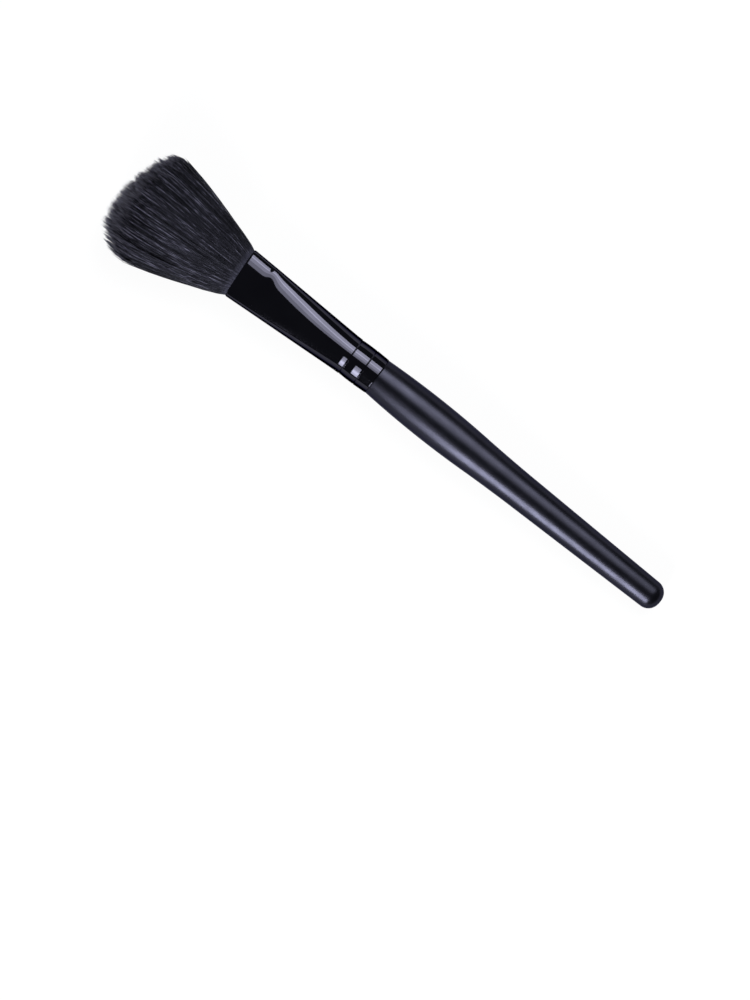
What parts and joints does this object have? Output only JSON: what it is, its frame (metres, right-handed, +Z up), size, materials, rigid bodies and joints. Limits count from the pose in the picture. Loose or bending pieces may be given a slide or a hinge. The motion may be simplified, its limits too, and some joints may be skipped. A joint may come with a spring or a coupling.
{
  "type": "blush brush",
  "caption": "Make-up brush for powder blush: a flared, domed hair bundle in a metal ferrule pressed oval at its mouth, on a slim turned handle with a belly and a rounded tail.",
  "frame": {"origin": "middle of the brush's outline on the surface that it lies on", "axes": "+X from the handle's tail to the hair, +Y along the wide side of the oval hair bundle, +Z up as the brush lies"},
  "size_m": [0.174, 0.0302, 0.0171],
  "materials": {
    "handle_lacquer": "satin",
    "ferrule_metal": "gloss",
    "hair": "matte",
    "resin": "gloss"
  },
  "bodies": {
    "root": {"handle": "handle_lacquer", "ferrule": "ferrule_metal", "tuft": "hair", "resin_plug": "resin"}
  },
  "joints": []
}
